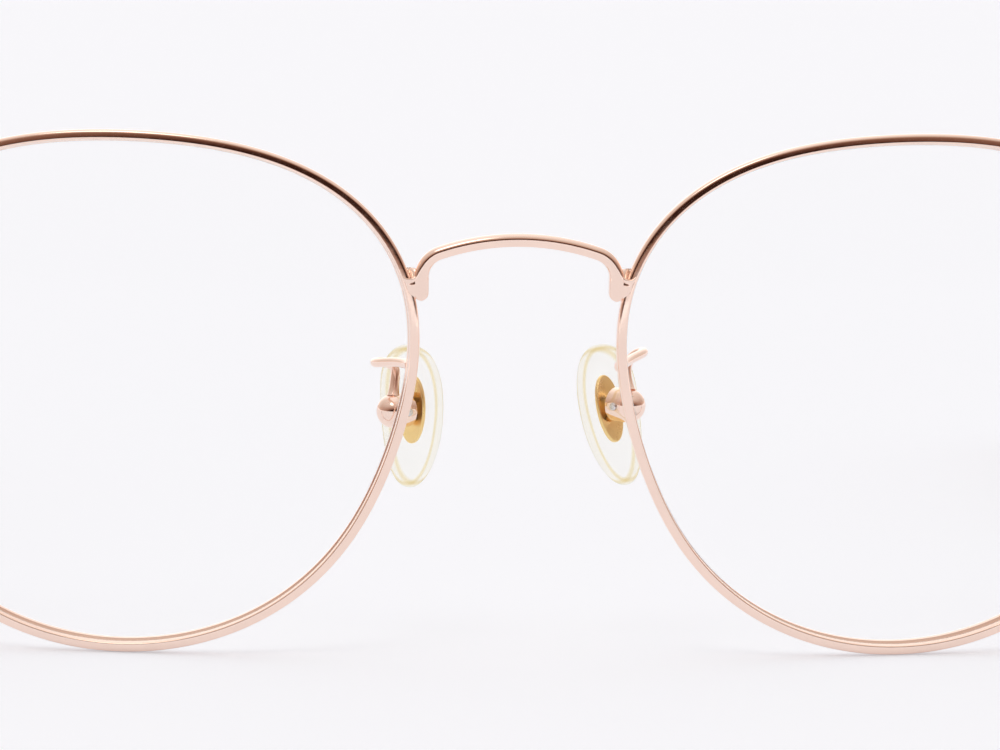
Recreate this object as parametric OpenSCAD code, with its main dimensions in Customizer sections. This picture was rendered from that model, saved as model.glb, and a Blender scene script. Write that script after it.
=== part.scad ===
// Round metal eyeglasses, standing open on the rims and the temple tips.
// +X is the wearer's left, the front faces -Y, +Z is up. All sizes are in mm.

/* [Lenses] */
// Width of one lens at its bevel
lens_w = 52; // [46:0.5:54]
// Height of one lens at its bevel
lens_h = 46.5; // [40:0.5:50]
// Distance between the two lenses
lens_gap = 19; // [18:0.5:21]
// Centre thickness of a lens
lens_t = 1.2; // [1:0.1:1.4]
// Turn of each lens about the vertical, temporal side to the rear
wrap = 10; // [6:1:12]
// Radius of the lens base curve
base_r = 110; // [100:5:160]

/* [Lens outline] */
// Oval share of the outline, as a part of its mean radius
oval_share = 0.036; // [0.02:0.002:0.05]
// Direction of the oval share, degrees from the temporal side
oval_dir = 88; // [80:1:100]
// Egg share of the outline
egg_share = 0.044; // [0.02:0.002:0.05]
// Direction of the egg share
egg_dir = 31; // [25:1:35]
// Corner share of the outline
corner_share = 0.016; // [0:0.002:0.02]
// Direction of the corner share
corner_dir = 46; // [40:1:50]

/* [Rim wire] */
// Thickness of the rim wire outside the bevel apex
rim_out = 0.42; // [0.4:0.02:0.5]
// Height of the rim wire's two lips inside the bevel apex
rim_lip = 0.55; // [0.4:0.05:0.6]
// Depth of the rim wire from front to back
rim_d = 2; // [1.8:0.1:2.2]

/* [Bridge] */
// Diameter of the bridge wire
bridge_wire = 1.22; // [1.1:0.02:1.4]
// Height of the bridge wire's top over the lens centre
bridge_top = 14.95; // [14.6:0.05:16]
// Half the distance between the bridge feet
foot_x = 8.85; // [8.8:0.05:9]
// Height of the feet's lower end over the lens centre
foot_low = 8.85; // [8:0.05:9.1]

/* [Nose pads] */
// Length of a pad
pad_l = 13; // [12:0.5:14]
// Width of a pad
pad_w = 7.6; // [7:0.2:8.4]
// Thickness of a pad at its middle
pad_t = 1.7; // [1.5:0.1:1.9]
// Distance of the left pad's screw from the middle
pad_x_left = 10.55; // [9.8:0.05:10.8]
// Distance of the right pad's screw from the middle
pad_x_right = 10; // [9.8:0.05:10.8]
// Distance of the left pad's screw below the lens centre
pad_low_left = 1.7; // [1.2:0.1:2.6]
// Distance of the right pad's screw below the lens centre
pad_low_right = 2.3; // [1.2:0.1:2.6]
// Turn of the left pad away from the other towards the rear
pad_splay_left = 45; // [34:1:48]
// Turn of the right pad away from the other towards the rear
pad_splay_right = 38; // [34:1:48]
// Lean of the left pad, its foot outwards
pad_lean_left = 16; // [0:1:16]
// Lean of the right pad, its foot outwards
pad_lean_right = 1; // [0:1:16]
// Diameter of the pad arm wire
arm_wire = 0.86; // [0.8:0.02:0.9]
// Rise of the left arm's loop
arm_rise_left = 0.8; // [-0.4:0.1:0.8]
// Rise of the right arm's loop
arm_rise_right = -0.3; // [-0.4:0.1:0.8]
// Reach of the left arm's loop beyond its pad screw
arm_out_left = 1.75; // [1.5:0.05:2.5]
// Reach of the right arm's loop beyond its pad screw
arm_out_right = 2.3; // [1.5:0.05:2.5]

/* [Temples] */
// Width of the front over the end pieces
front_w = 138; // [136:0.5:142]
// Length of a temple along its middle, with its tip
temple_l = 145; // [140:5:150]
// Height of a temple at the hinge
temple_h = 3.2; // [3:0.1:3.6]
// Thickness of a temple at the hinge
temple_t = 1.2; // [1.1:0.1:1.3]
// Angle of the ear bend
ear_angle = 42; // [38:1:48]
// Radius of the ear bend
ear_r = 25; // [20:1:30]
// Length of temple covered by its plastic tip
tip_l = 77; // [72:1:82]
// Radius of a temple tip over the ear
tip_r = 1.9; // [1.7:0.1:2.1]

/* [Hidden] */
$fn = 48;
eps = 0.01;

// Colours
rose_gold = [0.87, 0.66, 0.57];
plated_gold = [0.85, 0.66, 0.33];
steel = [0.75, 0.75, 0.77];
clear_plastic = [0.86, 0.92, 0.94, 0.4];
clear_silicone = [0.95, 0.92, 0.78, 0.6];
tip_plastic = [0.60, 0.36, 0.26];

// Running clearance of a pin in its bore, and between sliding faces
run_gap = 0.05;
slide_gap = 0.04;
// Clearance of a pin that is tight in its bore
tight_gap = 0.02;

// Lens outline, sampled from the temporal side over the top
ring_n = 96;
function raw_r(t) = 1 + oval_share * cos(2 * (t - oval_dir))
    + egg_share * cos(3 * (t - egg_dir))
    + corner_share * cos(4 * (t - corner_dir));
raw = [for (i = [0:ring_n - 1]) let (t = i * 360 / ring_n) raw_r(t) * [cos(t), sin(t)]];
raw_u = [for (p = raw) p[0]];
raw_v = [for (p = raw) p[1]];
function fitted(value, all, size) = (value - (max(all) + min(all)) / 2) * size / (max(all) - min(all));
outline = [for (p = raw) [fitted(p[0], raw_u, lens_w), fitted(p[1], raw_v, lens_h)]];
function outline_at(i) = outline[(i + ring_n) % ring_n];
function unit(v) = v / norm(v);
function outward(i) = let (d = outline_at(i + 1) - outline_at(i - 1)) unit([d[1], -d[0]]);

// Point of the lens frame that lies r outside the bevel and d behind the lens middle
function on_lens(p, n, r, d) = [p[0], p * p / (2 * base_r), p[1]]
    + r * unit([n[0], p * n / base_r, n[1]])
    + d * unit([-p[0] / base_r, 1, -p[1] / base_r]);
function at_edge(i, r, d) = on_lens(outline_at(i), outward(i), r, d);
function inside_lens(i, share, d) = on_lens(share * outline_at(i), outward(i), 0, d);

// Lens frame of the left lens in the glasses' frame
lens_x = (lens_gap + lens_w) / 2;
function to_front(p) = [
    lens_x + p[0] * cos(wrap) - p[1] * sin(wrap),
    p[0] * sin(wrap) + p[1] * cos(wrap),
    lens_z + p[2]
];
end_i = search(max(raw_u), raw_u)[0];
end_p = at_edge(end_i, 0, 0);

// Rim wire section: [out from the bevel apex, back from the lens middle]
groove_half = 0.42;
rim_half = rim_d / 2;
rim_half_section = [[1, 0.3], [0.95, 0.65], [0.72, 0.91], [-0.1, 1], [-0.75, 0.92], [-0.95, 0.7], [-1, 0.5]];
function rim_corner(c, s) = [c[0] * (c[0] > 0 ? rim_out : rim_lip), s * c[1] * rim_half];
rim_section = concat(
    [for (c = rim_half_section) rim_corner(c, -1)],
    [[-rim_lip, -groove_half], [0, 0], [-rim_lip, groove_half]],
    [for (i = [len(rim_half_section) - 1:-1:0]) rim_corner(rim_half_section[i], 1)]
);
rim_split = 0.1;

// Height of the lens centres, with the rims standing on the ground
lens_z = -min([for (i = [0:ring_n - 1]) for (c = rim_section) at_edge(i, c[0], c[1])[2]]);

// Lens edge section, clear of the groove on every side
bevel_gap = 0.05;
lens_edge = rim_lip + bevel_gap;
bevel_half = groove_half / rim_lip * (lens_edge - bevel_gap);
lens_section = [
    [-lens_edge - 0.1, -lens_t / 2], [-lens_edge, -lens_t / 2 + 0.05], [-lens_edge, -bevel_half],
    [-bevel_gap, 0],
    [-lens_edge, bevel_half], [-lens_edge, lens_t / 2 - 0.05], [-lens_edge - 0.1, lens_t / 2]
];
lens_shares = [0.75, 0.4];

// Bridge: an arch, two shoulder bends and two feet in one upright plane
bridge_y = -1.6;
arch_half = 7.2;
arch_rise = 1.2;
arch_r = (pow(arch_half, 2) + pow(arch_rise, 2)) / (2 * arch_rise);
arch_angle = asin(arch_half / arch_r);
shoulder_r = (foot_x - arch_half) / (1 - sin(arch_angle));
arch_z = lens_z + bridge_top - bridge_wire / 2;
shoulder_z = arch_z - arch_rise - shoulder_r * cos(arch_angle);
foot_w = 1.36;
foot_rear = 1.2;
foot_end_z = lens_z + foot_low;
foot_round_z = foot_end_z + foot_w / 2;
// Share of the squarer foot in the round wire, at a height
foot_shares = [[shoulder_z - 0.6, 1], [shoulder_z + 2, 0]];
foot_square = 0.6;
arch_square = 0.15;
bridge_n = 20;

// Nose pad assembly: the middle of the pad screw, and the sizes in the pad's own frame there
pad_y = 6.6;
function pad_pivot(side) = side > 0
    ? [pad_x_left, pad_y, lens_z - pad_low_left]
    : [pad_x_right, pad_y, lens_z - pad_low_right];
function pad_splay(side) = side > 0 ? pad_splay_left : pad_splay_right;
function pad_lean(side) = side > 0 ? pad_lean_left : pad_lean_right;
box_r = 1.55;
box_rear = 0.95;
dome_y = -0.55;
slot_half = [0.5, 1.05];
slot_y = -1;
pad_pin_r = 0.35;
pad_head_r = 0.75;
pad_head_h = 0.5;
pad_head_x = box_r - 0.2;
screw_slot_w = 0.2;
screw_slot_d = 0.2;
lug_half_w = 0.45;
lug_r = 0.85;
plate_y = [1.6, 2];
plate_half = [1.6, 3.1];
plate_n = 28;
pad_mid = 2.5;
pad_drop = 0.6;
pad_curve_w = 9;
pad_curve_l = 22;
pad_taper = 0.2;
pad_round = 0.85;
pad_shares = [0.35, 0.7, 0.88, 0.97];
pad_n = 32;

// Pad arm route, from the rim's rear face over the loop to the top of the pad box
arm_turn = 175.3;
arm_steps = ring_n * arm_turn / 360;
arm_i = floor(arm_steps);
function arm_root(i) = to_front(at_edge(i, 0, rim_half - 0.15));
arm_start = arm_root(arm_i) + (arm_steps - arm_i) * (arm_root(arm_i + 1) - arm_root(arm_i));
function arm_route(side) = let (
    rise = side > 0 ? arm_rise_left : arm_rise_right,
    pivot = pad_pivot(side),
    out = pivot[0] + (side > 0 ? arm_out_left : arm_out_right),
    splay = pad_splay(side),
    end = pivot + [0.6 * cos(splay), -0.6 * sin(splay), box_r - 0.2]
) [
    arm_start,
    arm_start + [0.3, 1.2, 0],
    arm_start + [1.2, 3.4, 0.3 * rise],
    [out, arm_start[1] + 6, arm_start[2] - 0.3 + rise],
    [out - 0.1, arm_start[1] + 7.6, arm_start[2] - 0.4 + rise],
    [out - 1.05, arm_start[1] + 8, arm_start[2] - 0.5 + 0.6 * rise],
    [pivot[0] + 0.15, arm_start[1] + 7.5, arm_start[2] - 1.1],
    [end[0] - 0.15, end[1] + 0.4, arm_start[2] - 2.2],
    end
];

// Rim lock, end piece and hinge
lock_h = 2.1;
lock_out = 2.3;
lock_in = 0.18;
lock_screw_x = 1.3;
lock_pin_r = 0.45;
lock_head_r = 0.75;
lock_head_h = 0.45;
lock_screw_l = 4.2;
lock_head_out = 0.1;
end_t = temple_t;
end_h = temple_h;
end_low = 0.3;
bend_r = 2.4;
leg_l = 3.8;
end_from = to_front(end_p + [lock_out - 0.35, 0, 0]);
temple_x = front_w / 2 - temple_t / 2;
end_straight = (temple_x - end_from[0] - bend_r * (1 - sin(wrap))) / cos(wrap);
leg_y = end_from[1] + end_straight * sin(wrap) + bend_r * cos(wrap);
joint_y = leg_y + leg_l;
hinge_z = end_from[2] + end_low + end_h / 2;
end_edge_r = 0.35;
// Bar section with rounded edges: [out, up]
end_section = [for (corner = [0:3]) for (a = steps(0, 90, 3))
    let (turn = corner * 90 + a, sx = corner == 0 || corner == 3 ? 1 : -1, sz = corner < 2 ? 1 : -1)
    [sx * (end_t / 2 - end_edge_r) + end_edge_r * cos(turn), sz * (end_h / 2 - end_edge_r) + end_edge_r * sin(turn)]];
leaf_t = 0.8;
front_leaf_l = 3.6;
temple_leaf_l = 6;
knuckle_r = 1.2;
leaf_from = knuckle_r + 0.1;
hinge_x = temple_x - temple_t / 2 - knuckle_r - run_gap;
knuckle_half = 0.58;
hinge_pin_r = 0.6;
hinge_head_r = 0.9;
hinge_head_h = 0.45;
hinge_seat_z = end_h / 2 - 0.4;

// Temple: straight bar, ear bend and tail, which rests on the ground at its end
tail_l = (hinge_z - tip_r - ear_r * (1 - cos(ear_angle))) / sin(ear_angle);
bend_l = ear_r * ear_angle * PI / 180;
bar_l = temple_l - tip_r - tail_l - bend_l;
tip_start = temple_l - tip_l;
core_r = 0.7;
core_short = 5;
bar_half_w = [[0, temple_t / 2], [48, 0.59], [tip_start - 7, 0.62], [tip_start, core_r]];
bar_half_h = [[0, temple_h / 2], [8, 1.54], [27, 1.15], [48, 0.88], [tip_start - 7, 0.74], [tip_start, core_r]];
bar_round = [[0, 0.5], [48, 0.7], [tip_start - 2, 1]];
tip_half = [[tip_start, 1.25], [bar_l - 6, tip_r - 0.02]];
tail_far = joint_y + bar_l + ear_r * sin(ear_angle) + tail_l * cos(ear_angle) + tip_r;

// Middle of the glasses from front to back, moved onto the origin
front_y = min([for (i = [0:ring_n - 1]) to_front(at_edge(i, 0, -rim_half))[1]]);
middle_y = (front_y + tail_far) / 2;

// Closed skin over rings of points, with flat ends
module skin(rings) {
    n = len(rings[0]);
    last = len(rings) - 1;
    polyhedron(
        points = [for (ring = rings) each ring],
        faces = concat(
            [for (k = [0:last - 1]) for (j = [0:n - 1]) let (j2 = (j + 1) % n)
                each [[k * n + j, k * n + j2, (k + 1) * n + j2], [k * n + j, (k + 1) * n + j2, (k + 1) * n + j]]],
            [[for (j = [n - 1:-1:0]) j]],
            [[for (j = [0:n - 1]) last * n + j]]
        ),
        convexity = 6
    );
}

// Uniform cubic B-spline through a list of control points, its ends held
function held(route) = concat(
    [2 * route[0] - route[1]], route, [2 * route[len(route) - 1] - route[len(route) - 2]]
);
function spline_point(c, k, s) = (
    pow(1 - s, 3) * c[k] + (3 * pow(s, 3) - 6 * pow(s, 2) + 4) * c[k + 1]
    + (-3 * pow(s, 3) + 3 * pow(s, 2) + 3 * s + 1) * c[k + 2] + pow(s, 3) * c[k + 3]
) / 6;
function spline(route, steps) = let (c = held(route), spans = len(route) - 1) concat(
    [for (k = [0:spans - 1]) for (j = [0:steps - 1]) spline_point(c, k, j / steps)],
    [spline_point(c, spans - 1, 1)]
);

// Round wire along a route
function heading(path, k) = unit(path[min(k + 1, len(path) - 1)] - path[max(k - 1, 0)]);
function carried(path, k) = k == 0
    ? unit(cross(heading(path, 0), [0, 0, 1]))
    : let (side = carried(path, k - 1), ahead = heading(path, k)) unit(side - (side * ahead) * ahead);
module wire(path, r, sides) {
    skin([for (k = [0:len(path) - 1])
        let (side = carried(path, k), up = cross(side, heading(path, k)))
        [for (j = [0:sides - 1]) let (a = j * 360 / sides) path[k] + r * (cos(a) * side + sin(a) * up)]
    ]);
}

// Places: 1 is the wearer's left side and -1 the right, with the middle of the glasses on the origin
module placed(side) {
    translate([0, -middle_y, 0])
        if (side > 0) children();
        else mirror([1, 0, 0]) children();
}
module in_lens_frame() {
    translate([lens_x, 0, lens_z]) rotate([0, 0, wrap]) children();
}
module in_pad_frame(side) {
    translate(pad_pivot(side)) rotate([0, 0, 90 - pad_splay(side)]) children();
}
module in_lock_frame() {
    in_lens_frame() translate(end_p) children();
}

module rim() {
    color(rose_gold) in_lens_frame() skin([for (k = [0:ring_n])
        let (shift = k == 0 ? rim_split / 2 : (k == ring_n ? -rim_split / 2 : 0))
        [for (c = rim_section) at_edge(end_i + k, c[0], c[1]) + [0, 0, shift]]
    ]);
}

module lens() {
    rows = concat(
        [for (share = [lens_shares[1], lens_shares[0]])
            [for (i = [0:ring_n - 1]) inside_lens(i, share, -lens_t / 2)]],
        [for (c = lens_section) [for (i = [0:ring_n - 1]) at_edge(i, c[0], c[1])]],
        [for (share = lens_shares) [for (i = [0:ring_n - 1]) inside_lens(i, share, lens_t / 2)]]
    );
    color(clear_plastic) in_lens_frame() capped_skin(rows, [0, -lens_t / 2, 0], [0, lens_t / 2, 0]);
}

// Closed skin over rings that end in a point at each side
module capped_skin(rings, first_point, last_point) {
    n = len(rings[0]);
    last = len(rings) - 1;
    first_i = n * (last + 1);
    polyhedron(
        points = concat([for (ring = rings) each ring], [first_point, last_point]),
        faces = concat(
            [for (k = [0:last - 1]) for (j = [0:n - 1]) let (j2 = (j + 1) % n)
                each [[k * n + j, (k + 1) * n + j2, k * n + j2], [k * n + j, (k + 1) * n + j, (k + 1) * n + j2]]],
            [for (j = [0:n - 1]) [first_i, j, (j + 1) % n]],
            [for (j = [0:n - 1]) [first_i + 1, last * n + (j + 1) % n, last * n + j]]
        ),
        convexity = 4
    );
}

// Rings of the bridge on one side, from its middle to the end of the foot
function bridge_ring(x, z, turn, side) = let (
    share = lookup(z, foot_shares),
    below = max(foot_round_z - z, 0) / (foot_w / 2),
    half_w = ((1 - share) * bridge_wire + share * foot_w) / 2 * sqrt(1 - below * below),
    rear = (1 - share) * bridge_wire / 2 + share * foot_rear,
    round = 1 - max(share * foot_square, arch_square)
) [for (j = [0:bridge_n - 1]) let (
    a = j * 360 / bridge_n,
    out = half_w * soft(cos(a), round),
    y = soft(sin(a), round)
) [side * (x + out * sin(turn)), y < 0 ? y * bridge_wire / 2 : y * rear, z + out * cos(turn)]];
function bridge_side(side) = concat(
    [for (a = steps(0, arch_angle, 7)) bridge_ring(arch_r * sin(a), arch_z - arch_r * (1 - cos(a)), a, side)],
    [for (a = steps(arch_angle + 9, 90, 7))
        bridge_ring(foot_x - shoulder_r * (1 - sin(a)), shoulder_z + shoulder_r * cos(a), a, side)],
    [for (z = steps(shoulder_z - 0.5, foot_round_z, 2)) bridge_ring(foot_x, z, 90, side)],
    [for (a = steps(25, 75, 2)) bridge_ring(foot_x, foot_round_z - foot_w / 2 * sin(a), 90, side)]
);

module bridge() {
    right = bridge_side(-1);
    rings = concat([for (k = [len(right) - 1:-1:1]) right[k]], bridge_side(1));
    color(rose_gold) placed(1) translate([0, bridge_y, 0]) skin(rings);
}

module pad_arm(side) {
    color(rose_gold) wire(spline(arm_route(side), 4), arm_wire / 2, 12);
}

module pad_box(side) {
    color(rose_gold) in_pad_frame(side) difference() {
        translate([0, box_rear, 0]) rotate([90, 0, 0]) domed_turning(box_r, box_rear - dome_y);
        translate([-slot_half[0], slot_y, -slot_half[1]])
            cube([2 * slot_half[0], 2 * box_r, 2 * slot_half[1]]);
        rotate([0, 90, 0]) cylinder(r = pad_pin_r + tight_gap, h = 4 * box_r, center = true);
        translate([pad_head_x, 0, 0]) rotate([0, 90, 0]) cylinder(r = pad_head_r + run_gap, h = box_r);
    }
}

module pad_screw(side) {
    color(steel) in_pad_frame(side) rotate([0, 90, 0]) difference() {
        union() {
            translate([0, 0, -box_r - 0.15]) cylinder(r = pad_pin_r, h = 2 * box_r);
            translate([0, 0, pad_head_x + tight_gap]) cylinder(r = pad_head_r, h = pad_head_h);
        }
        translate([-pad_head_r - eps, -screw_slot_w / 2, pad_head_x + pad_head_h - screw_slot_d])
            cube([2 * pad_head_r + 2 * eps, screw_slot_w, 1]);
    }
}

// Round bar of length l whose far end is a half ball
module domed_turning(r, l) {
    rotate_extrude() {
        square([r, l]);
        intersection() {
            translate([0, l]) circle(r = r);
            square([r, l + r]);
        }
    }
}

module plate_outline(grow) {
    polygon([for (i = [0:plate_n - 1]) let (a = i * 360 / plate_n)
        [(plate_half[0] + grow) * cos(a), (plate_half[1] + grow) * sin(a)]]);
}

module plate_slab(y0, y1, grow) {
    translate([0, y1, 0]) rotate([90, 0, 0]) linear_extrude(y1 - y0) plate_outline(grow);
}

module pad_insert(side) {
    color(plated_gold) in_pad_frame(side) rotate([-pad_lean(side), 0, 0]) difference() {
        union() {
            plate_slab(plate_y[0], plate_y[1], 0);
            translate([-lug_half_w, 0, -lug_half_w])
                cube([2 * lug_half_w, plate_y[0] + eps, 2 * lug_half_w]);
            rotate([0, 90, 0]) cylinder(r = lug_r, h = 2 * lug_half_w, center = true);
        }
        rotate([0, 90, 0]) cylinder(r = pad_pin_r + run_gap, h = 4, center = true);
    }
}

// Point of the pad: share of its outline, and side of its middle surface
function pad_half_t(share) = pad_t / 2 * sqrt(1 - pow(share, 6));
function pad_point(i, share, side) = let (
    a = i * 360 / pad_n,
    x = share * pad_w / 2 * soft(cos(a), pad_round) * (1 + pad_taper * sin(a)),
    z = share * pad_l / 2 * soft(sin(a), pad_round)
) [x, pad_mid - x * x / (2 * pad_curve_w) - z * z / (2 * pad_curve_l) + side * pad_half_t(share), z - pad_drop];

module nose_pad(side) {
    rows = concat(
        [for (share = pad_shares) [for (i = [0:pad_n - 1]) pad_point(i, share, -1)]],
        [[for (i = [0:pad_n - 1]) pad_point(i, 1, 0)]],
        [for (k = [len(pad_shares) - 1:-1:0]) [for (i = [0:pad_n - 1]) pad_point(i, pad_shares[k], 1)]]
    );
    color(clear_silicone) in_pad_frame(side) rotate([-pad_lean(side), 0, 0]) difference() {
        capped_skin(rows, [0, pad_mid - pad_t / 2, -pad_drop], [0, pad_mid + pad_t / 2, -pad_drop]);
        plate_slab(plate_y[0] - 1, plate_y[1] + tight_gap, tight_gap);
    }
}

module rim_lock_upper() {
    color(rose_gold) in_lock_frame() difference() {
        translate([lock_in, -rim_half, rim_split / 2]) cube([lock_out - lock_in, rim_d, lock_h]);
        translate([lock_screw_x, 0, -eps]) cylinder(r = lock_pin_r + tight_gap, h = lock_h + 1);
    }
}

module rim_lock_lower() {
    color(rose_gold) in_lock_frame() difference() {
        translate([lock_in, -rim_half, -lock_h - rim_split / 2]) cube([lock_out - lock_in, rim_d, lock_h]);
        translate([lock_screw_x, 0, -lock_h - 1]) cylinder(r = lock_pin_r + run_gap, h = lock_h + 2);
        translate([lock_screw_x, 0, -lock_h - 1])
            cylinder(r = lock_head_r + run_gap, h = 1 + lock_head_h - lock_head_out + run_gap);
    }
}

module rim_lock_screw() {
    color(steel) in_lock_frame() translate([lock_screw_x, 0, -lock_h - lock_head_out]) difference() {
        union() {
            cylinder(r = lock_pin_r, h = lock_screw_l);
            cylinder(r = lock_head_r, h = lock_head_h);
        }
        translate([-lock_head_r - eps, -screw_slot_w / 2, screw_slot_d - 1])
            cube([2 * lock_head_r + 2 * eps, screw_slot_w, 1]);
    }
}

function end_ring(p, heading) = [for (c = end_section)
    [p[0] + c[0] * sin(heading), p[1] - c[0] * cos(heading), hinge_z + c[1]]];

module end_piece() {
    bend_mid = [temple_x - bend_r, leg_y];
    color(rose_gold) skin(concat(
        [end_ring([end_from[0], end_from[1]], wrap)],
        [for (a = steps(wrap, 90, 8)) end_ring(bend_mid + bend_r * [sin(a), -cos(a)], a)],
        [end_ring([temple_x, joint_y], 90)]
    ));
}

module in_hinge_frame() {
    translate([hinge_x, joint_y, hinge_z]) children();
}

// Leaf plate, which starts clear of the other leaf's knuckle, and its arm to its own knuckle
module leaf_plate(long, low, high) {
    translate([knuckle_r + run_gap - leaf_t, leaf_from, -end_h / 2]) cube([leaf_t, long - leaf_from, end_h]);
    translate([0, run_gap, low]) cube([knuckle_r, leaf_from, high - low]);
}

module hinge_front_leaf() {
    top = end_h / 2;
    gap = knuckle_half + slide_gap;
    color(rose_gold) in_hinge_frame() difference() {
        for (z = [-top, gap]) {
            translate([0, 0, z]) cylinder(r = knuckle_r, h = top - gap);
            mirror([0, 1, 0]) leaf_plate(front_leaf_l, z, z + top - gap);
        }
        cylinder(r = hinge_pin_r + tight_gap, h = 2 * end_h, center = true);
        translate([0, 0, hinge_seat_z]) cylinder(r = hinge_head_r + run_gap, h = end_h);
    }
}

module hinge_temple_leaf() {
    color(rose_gold) in_hinge_frame() difference() {
        union() {
            translate([0, 0, -knuckle_half]) cylinder(r = knuckle_r, h = 2 * knuckle_half);
            leaf_plate(temple_leaf_l, -knuckle_half, knuckle_half);
        }
        cylinder(r = hinge_pin_r + run_gap, h = 2 * end_h, center = true);
    }
}

module hinge_screw() {
    color(steel) in_hinge_frame() difference() {
        union() {
            translate([0, 0, -end_h / 2]) cylinder(r = hinge_pin_r, h = end_h);
            translate([0, 0, hinge_seat_z + tight_gap]) cylinder(r = hinge_head_r, h = hinge_head_h);
        }
        translate([-hinge_head_r - eps, -screw_slot_w / 2, hinge_seat_z + hinge_head_h - screw_slot_d])
            cube([2 * hinge_head_r + 2 * eps, screw_slot_w, 1]);
    }
}

// Temple route: place and fall of the middle line at a distance s from the joint
function along(s) = s < bar_l
    ? [s, 0, 0]
    : let (a = min((s - bar_l) * 180 / PI / ear_r, ear_angle), t = max(s - bar_l - bend_l, 0))
        [bar_l + ear_r * sin(a) + t * cos(a), -ear_r * (1 - cos(a)) - t * sin(a), a];
function steps(from, to, n) = [for (k = [0:n]) from + (to - from) * k / n];

// Ring of the temple at s: half width, half height, and 1 for round or less for squarer
function soft(c, round) = sign(c) * pow(abs(c), round);
function temple_ring(s, w, h, round, sides) = let (m = along(s)) [for (j = [0:sides - 1])
    let (a = j * 360 / sides, x = w * soft(cos(a), round), z = h * soft(sin(a), round))
    [x, m[0] + z * sin(m[2]), m[1] + z * cos(m[2])]
];

module in_temple_frame() {
    translate([temple_x, joint_y, hinge_z]) children();
}

module temple() {
    rows = concat(
        steps(run_gap, tip_start, 10), steps(tip_start + 2, bar_l, 2), steps(bar_l + 2, bar_l + bend_l, 8),
        [temple_l - tip_r - core_short]
    );
    color(rose_gold) in_temple_frame() skin([for (s = rows)
        temple_ring(s, lookup(s, bar_half_w), lookup(s, bar_half_h), lookup(s, bar_round), 20)]);
}

module temple_tip() {
    outer = concat([tip_start, tip_start + 12], steps(bar_l - 6, bar_l, 1), steps(bar_l + 2, bar_l + bend_l, 8),
        [bar_l + bend_l + 1]);
    inner = concat([tip_start - 1], steps(bar_l, bar_l + bend_l, 8), [temple_l - tip_r - core_short + 0.2]);
    color(tip_plastic) in_temple_frame() difference() {
        union() {
            skin([for (s = outer) let (r = lookup(s, tip_half)) temple_ring(s, r, r, 1, 32)]);
            translate([0, along(temple_l)[0], along(temple_l)[1]]) rotate([-90 - ear_angle, 0, 0])
                translate([0, 0, -tail_l - tip_r]) domed_turning(tip_r, tail_l);
        }
        skin([for (s = inner) temple_ring(s, core_r + run_gap, core_r + run_gap, 1, 16)]);
    }
}

placed(1) rim();  // rim_left
placed(-1) rim();  // rim_right
placed(1) lens();  // lens_left
placed(-1) lens();  // lens_right
bridge();
placed(1) pad_arm(1);  // pad_arm_left
placed(-1) pad_arm(-1);  // pad_arm_right
placed(1) pad_box(1);  // pad_box_left
placed(-1) pad_box(-1);  // pad_box_right
placed(1) pad_screw(1);  // pad_screw_left
placed(-1) pad_screw(-1);  // pad_screw_right
placed(1) pad_insert(1);  // pad_insert_left
placed(-1) pad_insert(-1);  // pad_insert_right
placed(1) nose_pad(1);  // nose_pad_left
placed(-1) nose_pad(-1);  // nose_pad_right
placed(1) rim_lock_upper();  // rim_lock_upper_left
placed(-1) rim_lock_upper();  // rim_lock_upper_right
placed(1) rim_lock_lower();  // rim_lock_lower_left
placed(-1) rim_lock_lower();  // rim_lock_lower_right
placed(1) rim_lock_screw();  // rim_lock_screw_left
placed(-1) rim_lock_screw();  // rim_lock_screw_right
placed(1) end_piece();  // end_piece_left
placed(-1) end_piece();  // end_piece_right
placed(1) hinge_front_leaf();  // hinge_front_leaf_left
placed(-1) hinge_front_leaf();  // hinge_front_leaf_right
placed(1) hinge_temple_leaf();  // hinge_temple_leaf_left
placed(-1) hinge_temple_leaf();  // hinge_temple_leaf_right
placed(1) hinge_screw();  // hinge_screw_left
placed(-1) hinge_screw();  // hinge_screw_right
placed(1) temple();  // temple_left
placed(-1) temple();  // temple_right
placed(1) temple_tip();  // temple_tip_left
placed(-1) temple_tip();  // temple_tip_right
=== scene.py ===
import math
import bmesh
import bpy
import numpy as np
from mathutils import Matrix, Vector


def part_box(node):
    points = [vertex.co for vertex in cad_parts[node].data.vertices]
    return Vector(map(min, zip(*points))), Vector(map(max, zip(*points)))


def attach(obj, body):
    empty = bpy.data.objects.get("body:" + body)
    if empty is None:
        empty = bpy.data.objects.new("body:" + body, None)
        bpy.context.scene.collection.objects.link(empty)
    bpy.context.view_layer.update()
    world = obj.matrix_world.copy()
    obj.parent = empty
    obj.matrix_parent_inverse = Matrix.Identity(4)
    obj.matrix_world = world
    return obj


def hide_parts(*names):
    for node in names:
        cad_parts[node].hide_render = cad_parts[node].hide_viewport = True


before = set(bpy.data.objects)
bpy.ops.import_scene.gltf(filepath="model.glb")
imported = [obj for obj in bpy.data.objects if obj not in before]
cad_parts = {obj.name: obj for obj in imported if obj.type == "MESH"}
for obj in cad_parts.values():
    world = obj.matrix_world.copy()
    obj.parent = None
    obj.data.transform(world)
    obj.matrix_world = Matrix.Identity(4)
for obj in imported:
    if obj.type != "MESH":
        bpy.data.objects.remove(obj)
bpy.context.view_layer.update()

# ---------------------------------------------------------------- sizes, in mm, as in the CAD source
# A POWER is for soft(), an EDGE is the width of a rounded edge, a FILLET is a share of the wire's thickness
MM = 0.001
LEFT, RIGHT = 1, -1
SIDES = {LEFT: "left", RIGHT: "right"}
LENS_W, LENS_H, LENS_GAP, LENS_T = 52.0, 46.5, 19.0, 1.2
WRAP = math.radians(10)
BASE_R = 110.0
OVAL_SHARE, OVAL_DIR = 0.036, math.radians(88)
EGG_SHARE, EGG_DIR = 0.044, math.radians(31)
CORNER_SHARE, CORNER_DIR = 0.016, math.radians(46)
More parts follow.
